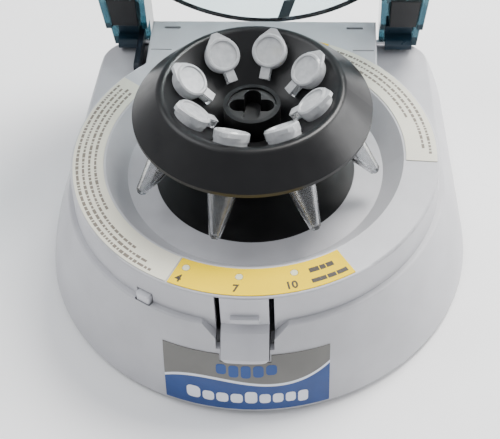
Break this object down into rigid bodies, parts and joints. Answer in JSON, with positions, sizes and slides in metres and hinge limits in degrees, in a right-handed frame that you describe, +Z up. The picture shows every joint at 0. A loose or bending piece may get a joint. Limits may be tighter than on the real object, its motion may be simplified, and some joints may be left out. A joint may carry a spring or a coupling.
{
  "type": "laboratory centrifuge",
  "caption": "Small bench-top laboratory centrifuge with an angle rotor for microtubes, a hinged clear domed lid, a front latch tab and a rear power inlet.",
  "frame": {"origin": "on the bench, below the centre of the outline with the lid open", "axes": "+Z up, -Y to the operator and the latch, +Y to the hinge and the rear sockets, +X to the operator's right"},
  "size_m": [0.16, 0.2068, 0.1825],
  "materials": {
    "housing_grey": "fine satin moulded ABS",
    "latch_grey": "satin moulded ABS",
    "rubber_black": "matt black rubber",
    "screw_steel": "zinc-plated",
    "pin_steel": "ground",
    "plate_steel": "pressed sheet",
    "disc_black": "smooth satin black",
    "rotor_black": "satin glass-filled plastic",
    "hub_black": "matt black",
    "tube_white": "milky translucent polypropylene",
    "lid_clear": "clear, tinted blue-green",
    "label_cream": "printed film",
    "label_yellow": "printed film",
    "badge_film": "printed film, grey over blue",
    "lamp_lens": "pale lens",
    "cap_black": "moulded",
    "rocker_black": "polished",
    "button_grey": "satin",
    "arm_grey": "satin",
    "magnet_ferrite": "sintered ferrite",
    "brush_carbon": "carbon",
    "core_steel": "laminated",
    "copper": "enamelled copper",
    "contact_nickel": "nickel-plated",
    "board_green": "lacquered circuit board"
  },
  "bodies": {
    "base": {"top_housing": "housing_grey", "base_plate": "housing_grey", "rubber_feet": "rubber_black", "housing_screws": "screw_steel", "chamber_disc": "disc_black", "shaft_seal": "rubber_black", "speed_label": "label_yellow", "instruction_label_left": "label_cream", "instruction_label_right": "label_cream", "rear_ring_label": "label_cream", "front_badge": "badge_film", "speed_lamps": "lamp_lens", "motor_plate": "plate_steel", "motor_grommets": "rubber_black", "motor_plate_screws": "screw_steel", "motor_can": "plate_steel", "motor_screws": "screw_steel", "motor_end_cap": "cap_black", "motor_bearings": "pin_steel", "motor_magnets": "magnet_ferrite", "motor_brushes": "brush_carbon", "lid_microswitch": "cap_black", "power_inlet": "cap_black", "inlet_pins": "contact_nickel", "power_switch_body": "cap_black", "button_switch": "cap_black", "control_board": "board_green", "board_components": "cap_black", "board_screws": "screw_steel", "hinge_pins": "pin_steel"},
    "lid": {"lid_shell": "lid_clear", "lid_buffer_left": "rubber_black", "lid_buffer_right": "rubber_black", "lid_hinge_block_left": "arm_grey", "lid_hinge_block_right": "arm_grey", "lid_cam_arm": "arm_grey"},
    "spindle": {"motor_shaft": "pin_steel", "armature_core": "core_steel", "armature_windings": "copper", "commutator": "copper", "drive_hub": "hub_black"},
    "rotor": {"rotor_shell": "rotor_black", "rotor_hub_insert": "hub_black", "microtube_2": "tube_white", "microtube_3": "tube_white", "microtube_4": "tube_white", "microtube_5": "tube_white", "microtube_6": "tube_white", "microtube_7": "tube_white", "microtube_8": "tube_white"},
    "tube": {"microtube_1": "tube_white"},
    "latch": {"lid_latch": "latch_grey"},
    "plunger": {"lid_plunger": "housing_grey"},
    "rocker": {"power_rocker": "rocker_black"},
    "button": {"speed_button": "button_grey"}
  },
  "joints": [
    {"name": "lid_hinge", "type": "hinge", "parent": "base", "child": "lid", "pos_m": [0, 0.04921, 0.04], "axis": [-1, 0, 0], "range_deg": [-90, 0]},
    {"name": "spindle_spin", "type": "hinge", "parent": "base", "child": "spindle", "pos_m": [0, -0.02329, 0.05], "axis": [0, 0, 1], "continuous": true},
    {"name": "rotor_lift", "type": "slide", "parent": "spindle", "child": "rotor", "axis": [0, 0, 1], "range_m": [0, 0.025]},
    {"name": "tube_lift", "type": "slide", "parent": "rotor", "child": "tube", "axis": [0.6309, -0.1597, 0.7593], "range_m": [0, 0.036]},
    {"name": "latch_press", "type": "hinge", "parent": "base", "child": "latch", "pos_m": [0, -0.0893, 0.0482], "axis": [1, 0, 0], "range_deg": [0, 4], "stiffness_Nm_per_rad": 0.3, "springref_deg": -11.46},
    {"name": "plunger_press", "type": "slide", "parent": "base", "child": "plunger", "axis": [0, 0, -1], "range_m": [0, 0.0015], "stiffness_N_per_m": 300, "springref_m": -0.002},
    {"name": "speed_button_press", "type": "slide", "parent": "base", "child": "button", "axis": [0, -1, 0], "range_m": [0, 0.0015], "stiffness_N_per_m": 300, "springref_m": -0.002},
    {"name": "power_rocker_tilt", "type": "hinge", "parent": "base", "child": "rocker", "pos_m": [-0.023, 0.04971, 0.02], "axis": [1, 0, 0], "range_deg": [0, 18]}
  ]
}
